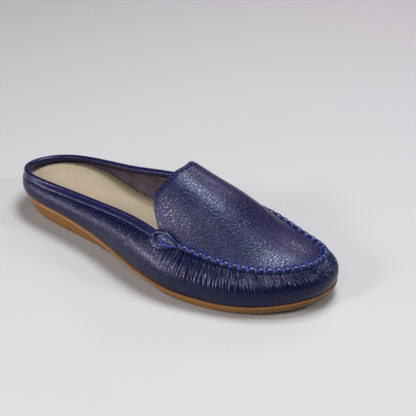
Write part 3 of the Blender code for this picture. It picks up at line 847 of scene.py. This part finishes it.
def make_seam():
    """Lip gathered between its stitches, with the threads that whip it and loop between them."""
    places = np.linspace(SEAM_FROM, SEAM_TO, 900)
    frames = lip_frames(places)
    rings = lip_ring(frames, places, np.linspace(0, 2 * np.pi, 22, endpoint=False))
    sleeve("seam_lip", rings, SEAM_FINISH, ("apron_seam",))
    at = [read_at(WHIP_PLACES, places, values) for values in frames]
    wraps = lip_ring(at, WHIP_PLACES, np.linspace(-0.05, np.pi * 0.82, 13), 0.08 * MM)
    cords("whip_stitches", wraps, 0.45 * MM, BLUE_THREAD)
    bow = 1.3 * MM * np.sin(np.linspace(0, np.pi, 13))[:, None]
    runs = []
    for start, end in zip(WHIP_PLACES, WHIP_PLACES[1:]):
        between = np.linspace(start, end, 13)
        middle, across, up, half = (read_at(between, places, values) for values in frames)
        line, _ = on_apron(middle + across * (half * LIP_FULLNESS + bow), 0.06 * MM)
        line[[0, -1]] += up[[0, -1]] * 0.5 * MM
        runs.append(line)
    cords("whip_loops", runs, 0.25 * MM, LOOP_THREAD, sides=6)


# Folded seam ends

# Outline of a folded seam end in mm: along the seam, across it towards the apron
KNOT_OUTLINE = (
    (18.0, -0.9), (14.4, -2.6), (10.8, -5.0), (7.4, -7.2), (3.6, -8.0), (0.4, -6.4),
    (-1.2, -3.0), (-0.6, 0.4), (1.8, 2.9), (5.2, 3.8), (9.4, 3.3), (14.2, 2.0), (18.0, 0.8),
)
KNOT_THREADS = (
    ((18.6, 0.4), (15.0, 1.3), (11.4, 2.0), (8.2, 2.0), (5.4, 0.9), (4.1, -1.2)),
    ((18.6, -0.6), (15.2, -1.6), (12.0, -2.9), (9.4, -4.2), (7.0, -4.4)),
    ((4.1, -1.2), (5.2, -3.2), (7.0, -4.4)),
    ((8.2, 2.0), (8.6, -0.6), (9.4, -4.2)),
)
PATCH_CENTRE = (6.6 * MM, -2.0 * MM)
PATCH_RINGS = (             # share of the outline, height in mm
    (0.02, -0.3), (0.5, -0.3), (1.0, -0.3), (1.0, 0.5), (0.8, 0.9), (0.5, 0.8), (0.02, 0.9),
)


def knot_places(end, ahead, along, across, lift):
    """Places over a seam end, and the directions out of it, from its own lengths."""
    places = end + ahead * along
    _, edge_ups = on_apron(inset_seam(np.array([end + ahead * 6 * MM]), SEAM_INSET))
    edge_up = edge_ups[0]
    _, out = outline(np.array([end]))
    level = np.array([-out[0, 0], -out[0, 1], 0])
    inward = unit(level - edge_up * (level @ edge_up))
    shares = share_at_drop(places, np.clip(-across, 0, None))
    base = wall_point(places, shares) + inward * np.clip(across, 0, None)[:, None]
    turn = ease(across, -4 * MM, 4 * MM)[:, None]
    wall_up = wall_normal(places, np.where(across < 0, shares, 1.0))
    ups = unit(wall_up * (1 - turn) + edge_up * turn)
    return base + ups * np.reshape(lift, (-1, 1)), ups


def knot_line(points, steps):
    """Smooth line through points that are given in mm."""
    points = np.array(points) * MM
    curve = Curve(np.arange(len(points)), points)
    return curve(np.linspace(0, len(points) - 1, steps)).T


def make_knot(name, end, ahead, node):
    """Folded seam end: a soft roll bent round a flat patch, drawn in to the lip."""
    along, across = knot_line(KNOT_OUTLINE, 90)
    reach = np.linspace(0, 1, 90)
    belly = np.sin(np.pi * reach)
    thick = (0.95 + 0.85 * belly ** 1.5) * MM
    middle, ups = knot_places(end, ahead, along, across, thick * 0.55)
    side = unit(np.cross(unit(np.gradient(middle, axis=0)), ups))
    radius = (thick * (1 + 0.05 * np.sin(reach * 61) * belly))[:, None]
    rings = []
    for angle in np.linspace(0, 2 * np.pi, 16, endpoint=False):
        rings.append(middle + (side * math.cos(angle) + ups * math.sin(angle)) * radius)
    sleeve(name, np.stack(rings, axis=1), SEAM_FINISH, (node,))
    rings = []
    for share, lift in PATCH_RINGS:
        inner_along = PATCH_CENTRE[0] + (along - PATCH_CENTRE[0]) * share
        inner_across = PATCH_CENTRE[1] + (across - PATCH_CENTRE[1]) * share
        rings.append(knot_places(end, ahead, inner_along, inner_across, lift * MM)[0])
    sleeve(f"{name}_patch", rings, SEAM_FINISH, (node,))
    runs = []
    for line in KNOT_THREADS:
        along, across = knot_line(line, 24)
        runs.append(knot_places(end, ahead, along, across, 1.25 * MM)[0])
    cords(f"{name}_thread", runs, 0.26 * MM, BLUE_THREAD)


# Collar

BAND_PROFILE = (            # share of the drop, height over the wall in mm
    (1.00, 0.10), (0.985, 0.50), (0.965, 0.56), (0.945, 0.34), (0.88, 0.34), (0.865, 0.58),
    (0.77, 0.62), (0.745, 0.58), (0.73, 0.34), (0.665, 0.34), (0.65, 0.62), (0.56, 0.78),
    (0.42, 0.86), (0.28, 0.82), (0.15, 0.72), (0.06, 0.66),
)
BAND_TOP = (                # depth behind the wall's face and height over the topline, in mm
    (-0.75, 0.50), (-0.30, 0.85), (0.40, 1.00), (1.2, 0.95), (2.0, 0.70), (2.5, 0.25),
)
BAND_INSIDE = (             # share of the turn-in, depth behind the wall's face in mm
    (0.15, 2.62), (0.4, 2.65), (0.7, 2.5), (0.92, 2.3), (1.0, 1.7),
)
STITCH_ROWS = (0.912, 0.697)                    # shares of the drop

# How high a stitch stands at five places along it
COLLAR_BOW = np.array([0.40, 0.52, 0.56, 0.52, 0.40]) * MM
THROAT_BOW = np.array([-0.2, 0.0, 0.06, 0.0, -0.2]) * MM
INSOLE_BOW = np.array([-0.1, 0.12, 0.16, 0.12, -0.1]) * MM


def make_collar():
    """Padded band over the topline with two rows of stitches along its lower edge."""
    hidden = 0.5 * MM
    places = np.linspace(MEDIAL_END - hidden, ROUND + LATERAL_END + hidden, 420) % ROUND
    tangent = unit(wall_point(places, 1.0) - wall_point(places, 0.97))
    ring = []
    for share, proud in BAND_PROFILE:
        ring.append(wall_offset(places, share_at_drop(places, BAND_DROP * share), -proud * MM))
    for depth, lift in BAND_TOP:
        ring.append(wall_offset(places, 1.0, depth * MM) + tangent * lift * MM)
    for share, depth in BAND_INSIDE:
        ring.append(wall_offset(places, share_at_drop(places, BAND_TURN_IN * share), depth * MM))
    ring.append(wall_offset(places, share_at_drop(places, BAND_TURN_IN * 0.5), WALL * 0.9))
    ring.append(wall_offset(places, share_at_drop(places, BAND_DROP * 0.5), 0.0))
    rings = np.stack(ring, axis=1)
    sleeve("collar_leather", rings, BAND_FINISH, ("collar_band",))
    start = MEDIAL_END + KNOT_BACK + 1 * MM
    end = ROUND + LATERAL_END - KNOT_BACK - 1 * MM
    runs = []
    for row in STITCH_ROWS:
        for place in np.arange(start, end, COLLAR_PITCH):
            line = np.linspace(place, place + COLLAR_STITCH, 5) % ROUND
            runs.append(wall_offset(line, share_at_drop(line, BAND_DROP * row), -COLLAR_BOW))
    cords("collar_stitches", runs, 0.52 * MM, DARK_THREAD, sides=6)


def make_throat_stitches():
    """Blue stitches along the throat's folded edge."""
    line = []
    for column in range(APRON.shape[1]):
        row = np.interp(THROAT_STITCH_INSET, APRON_RUN[:, column], np.arange(len(APRON)))
        low = int(row)
        step = APRON[low + 1, column] - APRON[low, column]
        line.append(APRON[low, column] + step * (row - low))
    runs = []
    margins = (3 * MM, 4 * MM)
    for points in stitches_along(np.array(line), margins, THROAT_PITCH, THROAT_STITCH):
        points, ups = on_apron(points)
        runs.append(points + ups * THROAT_BOW[:, None])
    cords("throat_stitches", runs, 0.30 * MM, LOOP_THREAD, sides=6)


# Insole

def insole_height(x):
    """Height of the insole's upper face at its edge."""
    fade = ease(x / LENGTH + HEEL_REST, *INSOLE_THINNING)
    seat = COLLAR_HEIGHT - SEAT_DEPTH - sole_top(ROWS[0, 0])
    return sole_top(x) + seat + (INSOLE_THICKNESS - seat) * fade


def insole_edge(places):
    """Points where the insole's side starts to round, and the height of its face there."""
    places = places % ROUND
    height = insole_height(LOOP_CURVE(places)[:, 0])
    shares = share_at_height(places, height - INSOLE_ROUNDING)
    return wall_offset(places, shares, WALL + INSOLE_FIT), height


def make_insole():
    """Padded insole with a stitched channel inside its edge."""
    lateral, lateral_height = insole_edge(np.linspace(0, TOE_END, 231))
    medial, medial_height = insole_edge(np.linspace(ROUND, TOE_END, 231))
    shares = (1 - np.cos(np.linspace(0, np.pi, 131))) / 2
    grid = lateral[:, None, :2] + (medial - lateral)[:, None, :2] * shares[None, :, None]
    level = lateral_height[:, None] + (medial_height - lateral_height)[:, None] * shares[None]
    loop = np.concatenate([lateral[:, :2], medial[::-1, :2]])
    gaps = grid.reshape(-1, 1, 2) - loop[None]
    away = np.sqrt((gaps ** 2).sum(axis=2).min(axis=1)).reshape(level.shape)
    along = grid[..., 0] / LENGTH + HEEL_REST
    front = ease(along, CHANNEL_FRONT - 0.01, CHANNEL_FRONT + 0.01)
    ring = np.exp(-((away - CHANNEL_INSET) / CHANNEL_WIDTH) ** 2) * (1 - front)
    cross = np.exp(-((along - CHANNEL_FRONT) * LENGTH / (0.7 * MM)) ** 2)
    channel = np.clip(ring + cross * ease(away, 5.5 * MM, CHANNEL_INSET), 0, 1)
    pad = 0.25 * MM * ease(away, 6.0 * MM, 13.0 * MM) * (1 - front)
    near = 1 - np.clip(away / INSOLE_ROUNDING, 0, 1)
    brow = INSOLE_ROUNDING * (1 - np.sqrt(1 - near ** 2))
    hollow = INSOLE_HOLLOW * 4 * shares * (1 - shares)
    top = level - brow - hollow + pad - channel * CHANNEL_DEPTH
    upper = np.dstack([grid, top])
    lower = np.dstack([grid, sole_top(grid[..., 0]) + CLEARANCE])
    made = slab("insole_leather", upper, lower, INSOLE_FINISH, ("insole",))
    mark(made, "channel", np.concatenate([channel.reshape(-1), np.zeros(channel.size)]))
    clean(made)
    insole_stitches(upper, away, along)


def clean(made):
    """Merge doubled points and drop faces that they leave empty."""
    form = bmesh.new()
    form.from_mesh(made.data)
    bmesh.ops.remove_doubles(form, verts=form.verts, dist=1e-6)
    bmesh.ops.dissolve_degenerate(form, edges=form.edges, dist=1e-6)
    bmesh.ops.recalc_face_normals(form, faces=form.faces)
    form.to_mesh(made.data)
    form.free()


def insole_stitches(upper, away, along):
    """Short stitches that lie in the insole's channel."""
    runs = []
    middle = upper.shape[1] // 2
    halves = (range(0, middle + 1), range(upper.shape[1] - 1, middle - 1, -1))
    for columns in (list(half) for half in halves):
        line = []
        for row in range(upper.shape[0]):
            strip = away[row, columns]
            if strip.max() < CHANNEL_INSET or along[row, middle] > CHANNEL_FRONT - 0.005:
                continue
            place = np.interp(CHANNEL_INSET, strip, np.arange(len(strip)))
            low = int(place)
            start = upper[row, columns[low]]
            end = upper[row, columns[min(low + 1, middle)]]
            line.append(start + (end - start) * (place - low))
        margins = (1 * MM, 3 * MM)
        for points in stitches_along(np.array(line), margins, INSOLE_PITCH, INSOLE_STITCH):
            points[:, 2] += INSOLE_BOW
            runs.append(points)
    cords("insole_stitches", runs, 0.24 * MM, INSOLE_THREAD, sides=6)


# Sole

def make_sole():
    """Gum sole: a merged copy of the solid, shaded smooth, with its rim, where the finish paints a
    highlight, and its heel marked.
    """
    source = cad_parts["outsole"]
    made = source.copy()
    made.data = source.data.copy()
    made.name = "gum_sole"
    bpy.context.scene.collection.objects.link(made)
    made.hide_render = False
    made.hide_viewport = False
    bpy.ops.object.select_all(action="DESELECT")
    made.select_set(True)
    bpy.context.view_layer.objects.active = made
    bpy.ops.object.mode_set(mode="EDIT")
    bpy.ops.mesh.select_all(action="SELECT")
    bpy.ops.mesh.remove_doubles(threshold=1e-6)
    bpy.ops.mesh.tris_convert_to_quads()
    bpy.ops.object.mode_set(mode="OBJECT")
    bpy.ops.object.shade_smooth_by_angle(angle=math.radians(38))
    points = np.array([v.co for v in made.data.vertices])
    top = sole_top(points[:, 0])
    # Rim: the band at the top of the side, where the finish paints a pale highlight.
    mark(made, "rim", ease(points[:, 2], top - 1.5 * MM, top - 1.1 * MM))
    mark(made, "heel", 1 - ease(points[:, 0] / LENGTH + HEEL_REST, 0.30, 0.52))
    dress(made, GUM_FINISH, ("outsole",))


# Camera and studio

CAMERA_TURNS = (35.17, 31.07, 0.895)    # azimuth, elevation and roll in degrees
CAMERA_DISTANCE = 0.962
CAMERA_AIM = (0.10875, 0.02035, 0.030)
FOCAL_LENGTH = 1406.6                   # in pixels of a picture of this width
PICTURE_WIDTH = 416


def make_camera():
    """Camera at the photograph's angle to the shoe."""
    azimuth, elevation, roll = (math.radians(a) for a in CAMERA_TURNS)
    back = Vector((math.sin(azimuth) * math.cos(elevation),
                   -math.cos(azimuth) * math.cos(elevation), math.sin(elevation)))
    level = Vector((math.cos(azimuth), math.sin(azimuth), 0))
    rise = back.cross(level)
    right = level * math.cos(roll) + rise * math.sin(roll)
    up = rise * math.cos(roll) - level * math.sin(roll)
    lens = bpy.data.cameras.new("camera")
    lens.sensor_width = 36
    lens.lens = FOCAL_LENGTH / PICTURE_WIDTH * lens.sensor_width
    lens.clip_start = 0.01
    camera = bpy.data.objects.new("camera", lens)
    turn = Matrix((right, up, back)).transposed()
    place = Vector(CAMERA_AIM) + back * CAMERA_DISTANCE
    camera.matrix_world = Matrix.Translation(place) @ turn.to_4x4()
    bpy.context.scene.collection.objects.link(camera)
    bpy.context.scene.camera = camera


def softbox(name, place, aim, size, power, tint):
    """Area light that faces a point."""
    light = bpy.data.lights.new(name, "AREA")
    light.shape = "RECTANGLE"
    light.size, light.size_y = size
    light.energy = power
    light.color = tint
    lamp = bpy.data.objects.new(name, light)
    lamp.location = place
    lamp.rotation_euler = (Vector(aim) - Vector(place)).to_track_quat("-Z", "Y").to_euler()
    bpy.context.scene.collection.objects.link(lamp)


def make_studio():
    """Pale floor, dim surroundings and soft lights round the shoe."""
    bpy.ops.object.select_all(action="DESELECT")
    bpy.ops.mesh.primitive_plane_add(size=6, location=(0, 0, -0.1 * MM))
    floor = bpy.context.object
    floor.name = "floor"
    finish = Finish("floor")
    finish.set(Base_Color=(0.33, 0.33, 0.33, 1), Roughness=0.9, Specular_IOR_Level=0.1)
    floor.data.materials.append(finish.material)
    world = bpy.data.worlds.new("studio")
    world.use_nodes = True
    world.node_tree.nodes["Background"].inputs["Color"].default_value = (1, 1, 1, 1)
    world.node_tree.nodes["Background"].inputs["Strength"].default_value = 0.06
    bpy.context.scene.world = world
    bpy.context.scene.view_settings.view_transform = "Standard"
    shoe = Vector((0.11, -0.01, 0.03))
    lights = (
        ("overhead", (0.10, 0.14, 0.98), 0.95, (0.52, 0.32), 13.5, (0.96, 0.98, 1.0)),
        ("back", (-0.10, 0.78, 0.60), 0.95, (0.34, 0.22), 2.0, (1.0, 0.76, 0.96)),
        ("left", (-0.85, -0.50, 0.05), 0.85, (0.30, 0.05), 0.9, (1.0, 0.92, 0.90)),
        ("low left", (-0.50, -0.86, 0.05), 0.85, (0.46, 0.06), 5.2, (1.0, 0.92, 0.90)),
        ("upper left", (-0.20, -0.83, 0.52), 0.90, (0.20, 0.16), 4.4, (1.0, 0.92, 0.91)),
        ("fill", (0.30, -0.62, 0.72), 1.0, (0.50, 0.36), 2.6, (1.0, 1.0, 1.0)),
        ("front", (0.76, 0.25, 0.60), 0.95, (0.18, 0.14), 3.4, (1.0, 1.0, 1.0)),
    )
    for name, way, away, size, power, tint in lights:
        softbox(name, shoe + Vector(way).normalized() * away, shoe, size, power, tint)


make_wall()
make_lining()
make_apron()
make_seam()
make_knot("seam_end_lateral", LATERAL_END, 1, "seam_tab_lateral")
make_knot("seam_end_medial", MEDIAL_END, -1, "seam_tab_medial")
make_collar()
make_throat_stitches()
make_insole()
make_sole()
make_camera()
make_studio()
